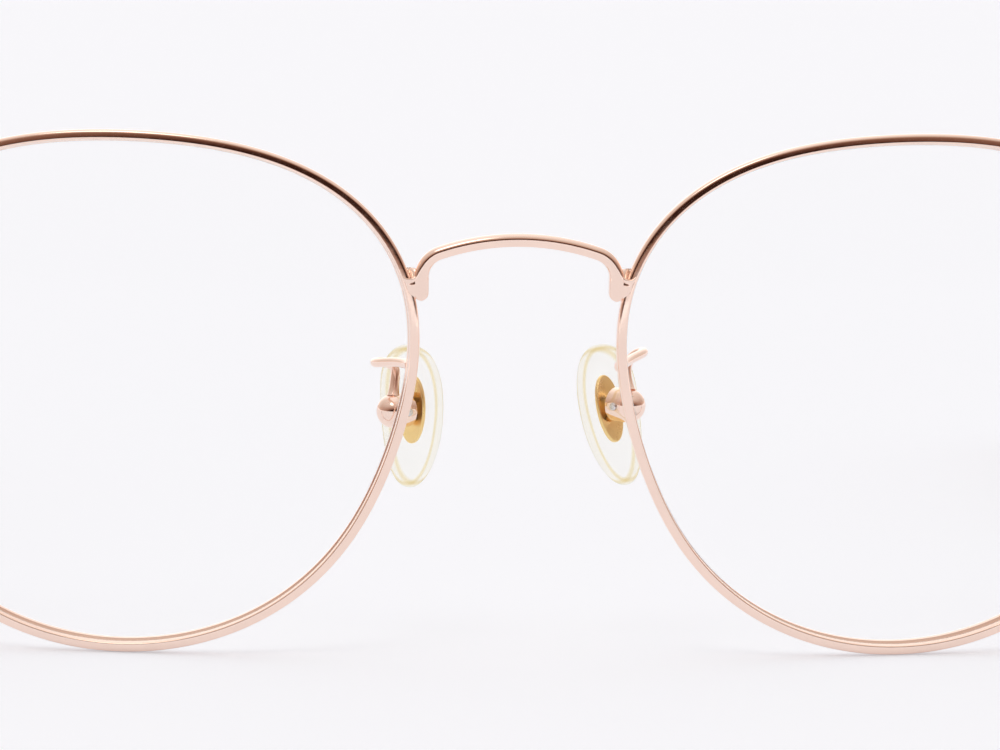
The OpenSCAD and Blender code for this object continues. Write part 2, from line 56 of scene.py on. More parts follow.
OUTLINE_STEPS = 96
RIM_OUT, RIM_LIP, RIM_HALF, RIM_SPLIT = 0.42, 0.55, 1.0, 0.1
RIM_OUTER_POWER, RIM_INNER_POWER = 0.6, 0.25
RIM_STEPS = 480
GROOVE_HALF, GROOVE_FLAT = 0.42, 0.03
BEVEL_GAP, LENS_CHAMFER, LENS_CORNER = 0.05, 0.1, 0.05
BRIDGE_WIRE, BRIDGE_TOP, BRIDGE_Y = 1.22, 14.95, -1.6
ARCH_HALF, ARCH_RISE = 7.2, 1.2
FOOT_X, FOOT_LOW, FOOT_W, FOOT_REAR, FOOT_SQUARE, ARCH_SQUARE = 8.85, 8.85, 1.36, 1.2, 0.6, 0.15
ROUND_ABOVE, FLAT_BELOW = 2.0, -0.6  # from the shoulder, where the round wire turns into a flat foot
SOLDER_LOW, SOLDER_HIGH, SOLDER_IN_FOOT, SOLDER_IN_RIM = 0.1, 2.75, 0.5, 0.75
SOLDER_BACK, SOLDER_HALF, SOLDER_LUMPS, SOLDER_HOLLOW, SOLDER_CREASES = 0.14, 0.68, 0.09, 0.9, 0.05
SOLDER_SIDE_POWER, SOLDER_FACE_POWER = 0.6, 0.5
PAD_L, PAD_W, PAD_T = 13.0, 7.6, 1.7
PAD_X = {LEFT: 10.55, RIGHT: 10.0}
PAD_Y = 6.6
PAD_LOW = {LEFT: 1.7, RIGHT: 2.3}
PAD_SPLAY = {LEFT: math.radians(45), RIGHT: math.radians(38)}
PAD_LEAN = {LEFT: math.radians(16), RIGHT: math.radians(1)}
PAD_MID, PAD_DROP, PAD_CURVE_W, PAD_CURVE_L, PAD_TAPER, PAD_ROUND = 2.5, 0.6, 9.0, 22.0, 0.2, 0.85
ARM_WIRE, ARM_IN_RIM, ARM_IN_BOX, ARM_BESIDE_SLOT = 0.86, 0.15, 0.2, 0.6
RIM_FILLET, RIM_FILLET_L, BOX_FILLET, BOX_FILLET_L = 0.22, 0.5, 0.2, 0.45
ARM_RISE = {LEFT: 0.8, RIGHT: -0.3}
ARM_OUT = {LEFT: 1.75, RIGHT: 2.3}
ARM_TURN = math.radians(175.3)
BOX_R, BOX_REAR, DOME_Y, BOX_EDGE = 1.55, 0.95, -0.55, 0.06
SLOT_HALF_W, SLOT_HALF_H, SLOT_Y = 0.5, 1.05, -1.0
PAD_PIN_R, PAD_PIN_PROUD, PAD_HEAD_R, PAD_HEAD_H, PAD_HEAD_X = 0.35, 0.15, 0.75, 0.5, 1.35
LUG_HALF_W, LUG_R, LUG_IN_PLATE = 0.45, 0.85, 0.2
PLATE_Y0, PLATE_Y1, PLATE_HALF_W, PLATE_HALF_H, PLATE_EDGE = 1.6, 2.0, 1.6, 3.1, 0.12
LOCK_IN, LOCK_OUT, LOCK_H, LOCK_EDGE = 0.18, 2.3, 2.1, 0.12
LOCK_SCREW_X, LOCK_PIN_R, LOCK_HEAD_R, LOCK_HEAD_H, LOCK_SCREW_L = 1.3, 0.45, 0.75, 0.45, 4.2
LOCK_HEAD_OUT, END_IN_LOCK = 0.1, 0.35
FRONT_W, TEMPLE_L, TEMPLE_H, TEMPLE_T = 138.0, 145.0, 3.2, 1.2
END_LOW, BEND_R, LEG_L, END_EDGE_R, END_EDGE = 0.3, 2.4, 3.8, 0.35, 0.08
KNUCKLE_R, KNUCKLE_HALF, LEAF_T, FRONT_LEAF_L, TEMPLE_LEAF_L = 1.2, 0.58, 0.8, 3.6, 6.0
LEAF_CLEAR, LEAF_IN_PLATE, LEAF_EDGE = 0.1, 0.05, 0.06
HINGE_PIN_R, HINGE_HEAD_R, HINGE_HEAD_H, HINGE_HEAD_SUNK = 0.6, 0.9, 0.45, 0.4
RUN_GAP, SLIDE_GAP, TIGHT_GAP = 0.05, 0.04, 0.02
EAR_ANGLE, EAR_R, TIP_L, TIP_R, CORE_R, CORE_SHORT = math.radians(42), 25.0, 77.0, 1.9, 0.7, 5.0
TIP_MOUTH_R, TIP_MOUTH_EDGE = 1.25, 0.35
SCREW_SLOT_W, SCREW_SLOT_D, SCREW_END_EDGE, HEAD_EDGE, LOCK_HEAD_EDGE = 0.2, 0.2, 0.08, 0.12, 0.1
TINY = 0.01
# name of the mesh attribute that carries the pads' painted edge light
PAD_EDGE_LIGHT = "pad_edge_light"


# ---------------------------------------------------------------- small maths
def unit(v):
    return v / np.linalg.norm(v, axis=-1, keepdims=True)


def soft(c, power):
    """A sine or cosine for the sections: a circle at power 1, and squarer the lower the power is."""
    return np.sign(c) * np.abs(c) ** power


def smooth_share(x, low, high):
    """How far x has gone from low to high, from 0 to 1, with a soft start and end."""
    t = np.clip((x - low) / (high - low), 0, 1)
    return t * t * (3 - 2 * t)


def circle(n):
    return np.linspace(0, 2 * math.pi, n, endpoint=False)


# ---------------------------------------------------------------- lens outline and the frame of one lens
def raw_outline(t):
    r = (1 + OVAL_SHARE * np.cos(2 * (t - OVAL_DIR))
         + EGG_SHARE * np.cos(3 * (t - EGG_DIR))
         + CORNER_SHARE * np.cos(4 * (t - CORNER_DIR)))
    return np.stack([r * np.cos(t), r * np.sin(t)], -1)


RAW = raw_outline(circle(OUTLINE_STEPS))
RAW_MID = (RAW.max(0) + RAW.min(0)) / 2
RAW_SCALE = np.array([LENS_W, LENS_H]) / (RAW.max(0) - RAW.min(0))
SPLIT_TURN = 2 * math.pi * RAW[:, 0].argmax() / OUTLINE_STEPS


def outline(t):
    """Points of the lens outline, and their outward normals."""
    step = 1e-4
    d = (raw_outline(t + step) - raw_outline(t - step)) * RAW_SCALE
    return (raw_outline(t) - RAW_MID) * RAW_SCALE, unit(np.stack([d[..., 1], -d[..., 0]], -1))


def on_lens(p, n, r, d):
    """Points of the lens frame that lie r outside the bevel and d behind the lens middle."""
    sag = (p * p).sum(-1) / (2 * BASE_R)
    out = unit(np.stack([n[..., 0], (p * n).sum(-1) / BASE_R, n[..., 1]], -1))
    back = unit(np.stack([-p[..., 0] / BASE_R, np.ones_like(sag), -p[..., 1] / BASE_R], -1))
    return np.stack([p[..., 0], sag, p[..., 1]], -1) + r * out + d * back


def in_front(points, base_z=0.0):
    """Points of the left lens frame in the frame of the glasses."""
    c, s = math.cos(WRAP), math.sin(WRAP)
    x, y, z = points[..., 0], points[..., 1], points[..., 2]
    return np.stack([(LENS_GAP + LENS_W) / 2 + x * c - y * s, x * s + y * c, base_z + z], -1)


def rim_section():
    """Section of the rim wire, a rounded bar with a groove in its inner side: out, back."""
    turn = np.radians(np.linspace(-160, 160, 73))
    power = np.where(np.cos(turn) > 0, RIM_OUTER_POWER, RIM_INNER_POWER)
    middle, half = (RIM_OUT - RIM_LIP) / 2, (RIM_OUT + RIM_LIP) / 2
    bar = np.stack([middle + half * soft(np.cos(turn), power), RIM_HALF * soft(np.sin(turn), power)], -1)
    groove = [[-RIM_LIP, GROOVE_HALF], [-GROOVE_FLAT, GROOVE_FLAT],
              [-GROOVE_FLAT, -GROOVE_FLAT], [-RIM_LIP, -GROOVE_HALF]]
    return np.concatenate([bar, groove])


def rim_rings(n):
    """Sections of the left rim from one side of its split round to the other."""
    t = SPLIT_TURN + np.linspace(0, 2 * math.pi, n + 1)
    p, normal = outline(t)
    rings = np.stack([on_lens(p, normal, r, d) for r, d in rim_section()], 1)
    rings[0, :, 2] += RIM_SPLIT / 2
    rings[-1, :, 2] -= RIM_SPLIT / 2
    return in_front(rings)


RIM_RINGS = rim_rings(RIM_STEPS)
RIM_BOX = [np.array(corner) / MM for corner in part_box("rim_left")]
LENS_Z = RIM_BOX[1][2] - RIM_RINGS[..., 2].max()
MIDDLE_Y = RIM_RINGS[..., 1].min() - RIM_BOX[0][1]
RIM_RINGS[..., 2] += LENS_Z


# ---------------------------------------------------------------- meshes, made in mm
def skin(rings, caps=True):
    """Vertices and faces of a skin over rings of points, shape (rings, points, 3)."""
    count, n = rings.shape[:2]
    j = np.arange(n)
    ahead = (j + 1) % n
    rows = np.arange(count - 1)[:, None] * n
    quads = np.stack([rows + j, rows + ahead, rows + n + ahead, rows + n + j], -1).reshape(-1, 4).tolist()
    if caps:
        quads += [list(range(n))[::-1], list(range((count - 1) * n, count * n))]
    return rings.reshape(-1, 3), quads


def pointed_skin(rings, first, last):
    """A skin whose two ends close in a point each."""
    points, faces = skin(rings, caps=False)
    n = rings.shape[1]
    a, b = len(points), len(points) + 1
    base = len(points) - n
    faces += [[a, (j + 1) % n, j] for j in range(n)]
    faces += [[b, base + j, base + (j + 1) % n] for j in range(n)]
    return np.concatenate([points, [first, last]]), faces


def turned(profile, n=64, along="x"):
    """Round solid from a profile of (place on the axis, radius) points, closed at both ends."""
    a = circle(n)
    rings = []
    for place, r in profile:
        u, v = r * np.cos(a), r * np.sin(a)
        w = np.full(n, float(place))
        rings.append(np.stack({"x": [w, u, v], "y": [v, w, u], "z": [u, v, w]}[along], -1))
    return skin(np.array(rings))


def rounded_start(a, r, edge, steps=4):
    """Profile of the first end, at a, of a round bar whose edges are rounded."""
    turns = np.linspace(0, math.pi / 2, steps + 1)[::-1]
    return [(a + edge * (1 - math.sin(t)), r - edge * (1 - math.cos(t))) for t in turns]


def rounded_stop(b, r, edge, steps=4):
    """Profile of the last end, at b, of a round bar whose edges are rounded."""
    turns = np.linspace(0, math.pi / 2, steps + 1)
    return [(b - edge * (1 - math.sin(t)), r - edge * (1 - math.cos(t))) for t in turns]


def block(low, high):
    """Plain box between two corners, for cutting and for blocks whose edges are rounded later."""
    x0, y0, z0 = low
    x1, y1, z1 = high
    points = [[x, y, z] for x in (x0, x1) for y in (y0, y1) for z in (z0, z1)]
    faces = [[0, 1, 3, 2], [4, 6, 7, 5], [0, 4, 5, 1], [2, 3, 7, 6], [0, 2, 6, 4], [1, 5, 7, 3]]
    return np.array(points, float), faces


def mesh_object(name, shape, sharp=math.radians(40), weld=1e-5):
    """A linked object from vertices and faces, smooth except where faces meet at a sharper angle."""
    points, faces = shape
    mesh = bpy.data.meshes.new(name)
    mesh.from_pydata(np.asarray(points).tolist(), [], faces)
    bm = bmesh.new()
    bm.from_mesh(mesh)
    bmesh.ops.remove_doubles(bm, verts=bm.verts, dist=weld)
    bmesh.ops.recalc_face_normals(bm, faces=bm.faces)
    bm.to_mesh(mesh)
    bm.free()
    mesh.shade_smooth()
    mesh.set_sharp_from_angle(angle=sharp)
    obj = bpy.data.objects.new(name, mesh)
    bpy.context.scene.collection.objects.link(obj)
    return obj


def baked(obj):
    """Replaces the object's mesh with its mesh after modifiers."""
    bpy.context.view_layer.update()
    result = bpy.data.meshes.new_from_object(obj.evaluated_get(bpy.context.evaluated_depsgraph_get()))
    obj.modifiers.clear()
    obj.data = result
    return obj


def joined(name, solids, operation="UNION"):
    """One solid from several, by union, or the first one minus the others."""
    base = mesh_object(name, solids[0])
    for number, shape in enumerate(solids[1:]):
        tool = mesh_object(f"{name}_tool_{number}", shape)
        modifier = base.modifiers.new("join", "BOOLEAN")
        modifier.operation = operation
        modifier.solver = "EXACT"
        modifier.object = tool
        baked(base)
        bpy.data.objects.remove(tool)
    result = ([tuple(v.co) for v in base.data.vertices], [list(p.vertices) for p in base.data.polygons])
    bpy.data.objects.remove(base)
    return result


def edge_rounded(obj, width, segments=3):
    """Rounds the object's sharp edges in its mesh."""
    modifier = obj.modifiers.new("edges", "BEVEL")
    modifier.width = width
    modifier.segments = segments
    modifier.limit_method = "ANGLE"
    modifier.angle_limit = math.radians(35)
    modifier.harden_normals = False
    baked(obj)
    obj.data.shade_smooth()
    obj.data.set_sharp_from_angle(angle=math.radians(50))
    return obj


# ---------------------------------------------------------------- places
PAD_PIVOT = {side: np.array([PAD_X[side], PAD_Y, LENS_Z - PAD_LOW[side]]) for side in SIDES}
END_P = on_lens(*outline(np.array([SPLIT_TURN])), 0, 0)[0]
END_FROM = in_front(END_P + [LOCK_OUT - END_IN_LOCK, 0, 0], LENS_Z)
TEMPLE_X = FRONT_W / 2 - TEMPLE_T / 2
END_STRAIGHT = (TEMPLE_X - END_FROM[0] - BEND_R * (1 - math.sin(WRAP))) / math.cos(WRAP)
LEG_Y = END_FROM[1] + END_STRAIGHT * math.sin(WRAP) + BEND_R * math.cos(WRAP)
JOINT_Y = LEG_Y + LEG_L
HINGE_Z = END_FROM[2] + END_LOW + TEMPLE_H / 2
HINGE_X = TEMPLE_X - TEMPLE_T / 2 - KNUCKLE_R - RUN_GAP
HINGE_TOP = TEMPLE_H / 2
HINGE_SEAT = HINGE_TOP - HINGE_HEAD_SUNK
TAIL_L = (HINGE_Z - TIP_R - EAR_R * (1 - math.cos(EAR_ANGLE))) / math.sin(EAR_ANGLE)
BEND_L = EAR_R * EAR_ANGLE
BAR_L = TEMPLE_L - TIP_R - TAIL_L - BEND_L
TIP_START = TEMPLE_L - TIP_L

PAD_PLACE = {
    side: Matrix.Translation(Vector(PAD_PIVOT[side])) @ Matrix.Rotation(math.pi / 2 - PAD_SPLAY[side], 4, "Z")
    for side in SIDES
}
LENS_PLACE = Matrix.Translation(((LENS_GAP + LENS_W) / 2, 0, LENS_Z)) @ Matrix.Rotation(WRAP, 4, "Z")
LOCK_PLACE = LENS_PLACE @ Matrix.Translation(Vector(END_P))
HINGE_PLACE = Matrix.Translation((HINGE_X, JOINT_Y, HINGE_Z))
TEMPLE_PLACE = Matrix.Translation((TEMPLE_X, JOINT_Y, HINGE_Z))


def finished(obj, side, place, material, body, slot, *nodes):
    """Moves a piece made in mm to its place in the row frame, gives it its material, hangs it on its body's
    empty and hides the CAD nodes it stands for.
    """
    mirror = Matrix.Diagonal((side, 1, 1, 1))
    to_row = Matrix.Scale(MM, 4) @ Matrix.Translation((0, -MIDDLE_Y, 0)) @ mirror
    obj.data.transform(to_row @ place)
    if side == RIGHT:
        obj.data.flip_normals()
    obj.data.materials.clear()
    obj.data.materials.append(material)
    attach(obj, body)
    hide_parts(*nodes)
    return obj


# ---------------------------------------------------------------- materials
def node_material(name):
    """A new material with its nodes, its links and its shader."""
    material = bpy.data.materials.new(name)
    material.use_nodes = True
    nodes = material.node_tree.nodes
    return material, nodes, material.node_tree.links, nodes["Principled BSDF"]


def noise(nodes, links, scale, detail=3.0, stretch=None):
    """Noise over the piece's own place, with features of about 1 / scale metres."""
    place = nodes.new("ShaderNodeTexCoord")
    texture = nodes.new("ShaderNodeTexNoise")
    texture.inputs["Scale"].default_value = scale
    texture.inputs["Detail"].default_value = detail
    if stretch:
        mapping = nodes.new("ShaderNodeMapping")
        mapping.inputs["Scale"].default_value = stretch
        links.new(place.outputs["Object"], mapping.inputs["Vector"])
        links.new(mapping.outputs["Vector"], texture.inputs["Vector"])
    else:
        links.new(place.outputs["Object"], texture.inputs["Vector"])
    return texture.outputs["Fac"]


def ramped(nodes, links, value, low, high, low_colour, high_colour):
    """Colour that goes from one to the other as the value goes from low to high."""
    ramp = nodes.new("ShaderNodeValToRGB")
    ramp.color_ramp.elements[0].position = low
    ramp.color_ramp.elements[1].position = high
    ramp.color_ramp.elements[0].color = (*low_colour, 1)
    ramp.color_ramp.elements[1].color = (*high_colour, 1)
    links.new(value, ramp.inputs["Fac"])
    return ramp.outputs["Color"]


def ranged(nodes, links, value, low, high, from_low=0.3, from_high=0.7):
    """Number that goes from low to high as the value goes from from_low to from_high."""
    node = nodes.new("ShaderNodeMapRange")
    node.inputs["From Min"].default_value = from_low
    node.inputs["From Max"].default_value = from_high
    node.inputs["To Min"].default_value = low
    node.inputs["To Max"].default_value = high
    links.new(value, node.inputs["Value"])
    return node.outputs["Result"]


def bumped(nodes, links, shader, height, strength, distance):
    bump = nodes.new("ShaderNodeBump")
    bump.inputs["Strength"].default_value = strength
    bump.inputs["Distance"].default_value = distance
    links.new(height, bump.inputs["Height"])
    links.new(bump.outputs["Normal"], shader.inputs["Normal"])


def scaled(colour, factor):
    return tuple(min(c * factor, 1) for c in colour)


def coloured(links, colour, socket):
    """Gives a socket a plain colour, or the colour from another node."""
    if isinstance(colour, tuple):
        socket.default_value = (*colour, 1)
    else:
        links.new(colour, socket)


def mixed(nodes, links, share, low, high):
    """Colour between low, at share 0, and high, at share 1."""
    mix = nodes.new("ShaderNodeMix")
    mix.data_type = "RGBA"
    links.new(share, mix.inputs["Factor"])
    coloured(links, low, mix.inputs["A"])
    coloured(links, high, mix.inputs["B"])
    return mix.outputs["Result"]


def polished_metal(name, colour, rough_low, rough_high, polish_bump):
    """Metal with faint changes of tone, a hazy polish and the shallow waves that polishing leaves."""
    material, nodes, links, shader = node_material(name)
    tone = noise(nodes, links, 260, 4)
    tint = ramped(nodes, links, tone, 0.35, 0.65, scaled(colour, 0.965), colour)
    links.new(tint, shader.inputs["Base Color"])
    haze = noise(nodes, links, 900, 5)
    links.new(ranged(nodes, links, haze, rough_low, rough_high), shader.inputs["Roughness"])
    shader.inputs["Metallic"].default_value = 1
    waves = noise(nodes, links, 1400, 2)
    bumped(nodes, links, shader, waves, polish_bump, 2e-5)
    return material


def see_through(nodes, links, tint, body, ior, roughness, facing=None):
    """Clear material that does not bend the view: a tinted body, and a sheen that grows at grazing views."""
    clear = nodes.new("ShaderNodeBsdfTransparent")
    coloured(links, tint, clear.inputs["Color"])
    milk = nodes.new("ShaderNodeBsdfTranslucent")
    coloured(links, tint, milk.inputs["Color"])
    cloudy = nodes.new("ShaderNodeMixShader")
    links.new(body, cloudy.inputs["Fac"])
    links.new(clear.outputs["BSDF"], cloudy.inputs[1])
    links.new(milk.outputs["BSDF"], cloudy.inputs[2])
    sheen = nodes.new("ShaderNodeBsdfGlossy")
    links.new(roughness, sheen.inputs["Roughness"])
    fresnel = nodes.new("ShaderNodeFresnel")
    fresnel.inputs["IOR"].default_value = ior
    side = nodes.new("ShaderNodeNewGeometry")
    outer = ranged(nodes, links, side.outputs["Backfacing"], 1, 0, 0, 1)
    share = fresnel.outputs["Fac"]
    for factor in (outer, facing):
        if factor:
            product = nodes.new("ShaderNodeMath")
            product.operation = "MULTIPLY"
            links.new(share, product.inputs[0])
            links.new(factor, product.inputs[1])
            share = product.outputs["Value"]
    mix = nodes.new("ShaderNodeMixShader")
    links.new(share, mix.inputs["Fac"])
    links.new(cloudy.outputs["Shader"], mix.inputs[1])
    links.new(sheen.outputs["BSDF"], mix.inputs[2])
    links.new(mix.outputs["Shader"], nodes["Material Output"].inputs["Surface"])
    return sheen


def lens_material():
    """Thin coated plastic. Its ground edge, in the rim, is matt and has no sheen."""
    material, nodes, links, shader = node_material("lens_plastic")
    nodes.remove(shader)
    smear = noise(nodes, links, 60, 3)
    place = nodes.new("ShaderNodeTexCoord")
    split = nodes.new("ShaderNodeSeparateXYZ")
    links.new(place.outputs["Normal"], split.inputs["Vector"])
    size = nodes.new("ShaderNodeMath")
    size.operation = "ABSOLUTE"
    links.new(split.outputs["Y"], size.inputs[0])
    face = ranged(nodes, links, size.outputs["Value"], 0, 1, 0.7, 0.85)
    ground = ranged(nodes, links, size.outputs["Value"], 0.25, 0, 0.7, 0.85)
    see_through(nodes, links, (0.998, 0.999, 0.999), ground, 1.14,
                ranged(nodes, links, smear, 0.01, 0.05), face)
    return material


def silicone_material():
    """Clear silicone, with painted light where the mesh's attribute marks the pad's thin edge: a yellow tint
    and a milkier body that stand in for the gold plate's light carried round inside the edge.
    """
    material, nodes, links, shader = node_material("clear_silicone")
    nodes.remove(shader)
    edge = nodes.new("ShaderNodeAttribute")
    edge.attribute_name = PAD_EDGE_LIGHT
    cloud = noise(nodes, links, 220, 3)
    middle = ramped(nodes, links, cloud, 0.3, 0.7, (0.988, 0.988, 0.963), (0.998, 0.998, 0.984))
    # painted light: along the pad's edge the tint turns yellow and the body milkier, standing in for the gold
    # plate's light carried round inside the edge
    tint = mixed(nodes, links, edge.outputs["Fac"], middle, (0.93, 0.84, 0.60))
    milk = ranged(nodes, links, edge.outputs["Fac"], 0.03, 0.2, 0, 1)
    grain = noise(nodes, links, 1500, 3)
    sheen = see_through(nodes, links, tint, milk, 1.3, ranged(nodes, links, grain, 0.08, 0.2))
    bumped(nodes, links, sheen, noise(nodes, links, 500, 2), 0.12, 6e-5)
    return material


def tip_material():
    """Brown translucent plastic with long darker swirls."""
    material, nodes, links, shader = node_material("tip_acetate")
    swirl = noise(nodes, links, 45, 4, stretch=(1.0, 0.25, 1.0))
    tint = ramped(nodes, links, swirl, 0.38, 0.62, (0.50, 0.24, 0.15), (0.83, 0.55, 0.42))
    links.new(tint, shader.inputs["Base Color"])
    shader.inputs["Transmission Weight"].default_value = 0.55
    shader.inputs["IOR"].default_value = 1.49
    haze = noise(nodes, links, 700, 3)
    links.new(ranged(nodes, links, haze, 0.06, 0.16), shader.inputs["Roughness"])
    bumped(nodes, links, shader, noise(nodes, links, 160, 2), 0.08, 1e-4)
    return material


ROSE_GOLD = polished_metal("rose_gold", (0.985, 0.768, 0.66), 0.07, 0.13, 0.12)
PLATED_GOLD = polished_metal("gold_plate", (0.95, 0.70, 0.31), 0.24, 0.38, 0.5)
STEEL = polished_metal("screw_steel", (0.72, 0.72, 0.74), 0.18, 0.3, 0.25)
LENS = lens_material()
SILICONE = silicone_material()
TIP = tip_material()


# ---------------------------------------------------------------- front: rims, lenses, bridge
def rim(side):
    """Grooved wire round the lens, open at its split."""
    name = f"rim_{SIDES[side]}"
    obj = mesh_object(f"{name}_wire", skin(RIM_RINGS))
    finished(obj, side, Matrix(), ROSE_GOLD, "front", "rose_gold_metal", name)


def lens(side):
    """Curved lens with a bevel that sits in the rim's groove."""
    name = f"lens_{SIDES[side]}"
    p, normal = outline(circle(240))
    edge = RIM_LIP + BEVEL_GAP
    half = LENS_T / 2
    flat_shares = np.sqrt(np.linspace(0.01, 0.98, 14))
    front = [on_lens(share * p, normal, 0, -half) for share in flat_shares]
    section = [
        [-edge - LENS_CHAMFER, -half], [-edge, -half + LENS_CORNER], [-edge, -GROOVE_HALF], [-BEVEL_GAP, 0],
        [-edge, GROOVE_HALF], [-edge, half - LENS_CORNER], [-edge - LENS_CHAMFER, half],
    ]
    rings = front + [on_lens(p, normal, r, d) for r, d in section]
    rings += [on_lens(share * p, normal, 0, half) for share in flat_shares[::-1]]
    shape = pointed_skin(in_front(np.array(rings), LENS_Z),
                         in_front(np.array([0, -half, 0]), LENS_Z), in_front(np.array([0, half, 0]), LENS_Z))
    obj = mesh_object(f"{name}_clear", shape, math.radians(25))
    finished(obj, side, Matrix(), LENS, "front", "lens_plastic", name)


def bridge_side(side):
    """Rings of the bridge from its middle to the end of one foot."""
    arch_r = (ARCH_HALF ** 2 + ARCH_RISE ** 2) / (2 * ARCH_RISE)
    arch_angle = math.asin(ARCH_HALF / arch_r)
    shoulder_r = (FOOT_X - ARCH_HALF) / (1 - math.sin(arch_angle))
    arch_z = LENS_Z + BRIDGE_TOP - BRIDGE_WIRE / 2
    shoulder_z = arch_z - ARCH_RISE - shoulder_r * math.cos(arch_angle)
    round_z = LENS_Z + FOOT_LOW + FOOT_W / 2
    arch = np.linspace(0, arch_angle, 40, endpoint=False)
    shoulder = np.linspace(arch_angle, math.pi / 2, 28)
    foot_end = round_z - FOOT_W / 2 * np.sin(np.radians(np.linspace(6, 84, 12)))
    foot_z = np.concatenate([np.linspace(shoulder_z - 0.15, round_z, 6), foot_end])
    shoulder_x = FOOT_X - shoulder_r * (1 - np.sin(shoulder))
    x = np.concatenate([arch_r * np.sin(arch), shoulder_x, np.full(len(foot_z), FOOT_X)])
    z = np.concatenate([arch_z - arch_r * (1 - np.cos(arch)),
                        shoulder_z + shoulder_r * np.cos(shoulder), foot_z])
    turn = np.concatenate([arch, shoulder, np.full(len(foot_z), math.pi / 2)])
    share = 1 - smooth_share(z, shoulder_z + FLAT_BELOW, shoulder_z + ROUND_ABOVE)
    below = np.maximum(round_z - z, 0) / (FOOT_W / 2)
    half_w = ((1 - share) * BRIDGE_WIRE + share * FOOT_W) / 2 * np.sqrt(1 - below * below)
    rear = (1 - share) * BRIDGE_WIRE / 2 + share * FOOT_REAR
    power = 1 - np.maximum(share * FOOT_SQUARE, ARCH_SQUARE)
    a = circle(48)
    rings = []
    for k in range(len(x)):
        out = half_w[k] * soft(np.cos(a), power[k])
        back = soft(np.sin(a), power[k])
        y = BRIDGE_Y + np.where(back < 0, back * BRIDGE_WIRE / 2, back * rear[k])
        across, up = x[k] + out * math.sin(turn[k]), z[k] + out * math.cos(turn[k])
        rings.append(np.stack([side * across, y, up], -1))
    return rings


def bridge():
    """One wire from foot to foot."""
    rings = bridge_side(RIGHT)[:0:-1] + bridge_side(LEFT)
    obj = mesh_object("bridge_wire", skin(np.array(rings)))
    finished(obj, LEFT, Matrix(), ROSE_GOLD, "front", "rose_gold_metal", "bridge")


def solder(side):
    """Fillet between a bridge foot and the rim, flush with both, with a hollow top in the notch."""
    low, high = LENS_Z + FOOT_LOW + SOLDER_LOW, LENS_Z + FOOT_LOW + SOLDER_HIGH
    nasal = RIM_RINGS[..., 0].mean(1) < (LENS_GAP + LENS_W) / 2
    rim_z, rim_edge = RIM_RINGS[nasal, :, 2].mean(1), RIM_RINGS[nasal, :, 0].min(1)
    order = np.argsort(rim_z)
    a = circle(36)
    near = FOOT_X + FOOT_W / 2 - SOLDER_IN_FOOT
    rings = []
    for share in np.linspace(0, 1, 30):
        z = low + (high - low) * share
        reach = np.interp(z, rim_z[order], rim_edge[order]) + SOLDER_IN_RIM
        fade = (1 - abs(2 * share - 1) ** 9 + 1e-3) ** 0.5
        lumps = 1 + SOLDER_LUMPS * share ** 2 * np.sin(3 * a + 14 * share)
        x = (near + reach) / 2 + (reach - near) / 2 * fade * soft(np.cos(a), SOLDER_SIDE_POWER)
        y = BRIDGE_Y + SOLDER_BACK + SOLDER_HALF * fade * lumps * soft(np.sin(a), SOLDER_FACE_POWER)
        hollow = SOLDER_HOLLOW * share ** 3 * (np.cos(a) ** 2 - 0.75)
        creases = SOLDER_CREASES * share ** 4 * np.sin(5 * a)
        rings.append(np.stack([x, y, z + (hollow + creases)], -1))
    obj = mesh_object(f"bridge_solder_{SIDES[side]}", skin(np.array(rings)), math.radians(80))
    finished(obj, side, Matrix(), ROSE_GOLD, "front", "rose_gold_metal", "bridge")


# ---------------------------------------------------------------- nose pad assemblies
def spline(route, steps):
    """Uniform cubic B-spline through control points, its ends held."""
    c = np.concatenate([[2 * route[0] - route[1]], route, [2 * route[-1] - route[-2]]])
    points = []
    for k in range(len(route) - 1):
        s = np.linspace(0, 1, steps, endpoint=False)[:, None]
        points.append(((1 - s) ** 3 * c[k] + (3 * s ** 3 - 6 * s ** 2 + 4) * c[k + 1]
                       + (-3 * s ** 3 + 3 * s ** 2 + 3 * s + 1) * c[k + 2] + s ** 3 * c[k + 3]) / 6)
    return np.concatenate(points + [[route[-1]]])


def wire(path, radius, n=28):
    """Rings of a round wire along a path, without twist."""
    ahead = unit(np.gradient(path, axis=0))
    side = unit(np.cross(ahead[0], [0, 0, 1]))
    a = circle(n)[:, None]
    rings = []
    for k in range(len(path)):
        side = unit(side - (side @ ahead[k]) * ahead[k])
        up = np.cross(side, ahead[k])
        rings.append(path[k] + radius[k] * (np.cos(a) * side + np.sin(a) * up))
    return np.array(rings)


def arm_route(side):
    """Points of a pad arm, from the back of the rim round its loop and down into the pad box."""
    start = in_front(on_lens(*outline(np.array([ARM_TURN])), 0, RIM_HALF - ARM_IN_RIM), LENS_Z)[0]
    beside = [ARM_BESIDE_SLOT * math.cos(PAD_SPLAY[side]), -ARM_BESIDE_SLOT * math.sin(PAD_SPLAY[side])]
    end = PAD_PIVOT[side] + [*beside, BOX_R - ARM_IN_BOX]
    rise, out = ARM_RISE[side], PAD_X[side] + ARM_OUT[side]
    return np.array([
        start,
        start + [0.3, 1.2, 0],
        start + [1.2, 3.4, 0.3 * rise],
        [out, start[1] + 6, start[2] - 0.3 + rise],
        [out - 0.1, start[1] + 7.6, start[2] - 0.4 + rise],
        [out - 1.05, start[1] + 8, start[2] - 0.5 + 0.6 * rise],
        [PAD_X[side] + 0.15, start[1] + 7.5, start[2] - 1.1],
        [end[0] - 0.15, end[1] + 0.4, start[2] - 2.2],
        end,
    ])


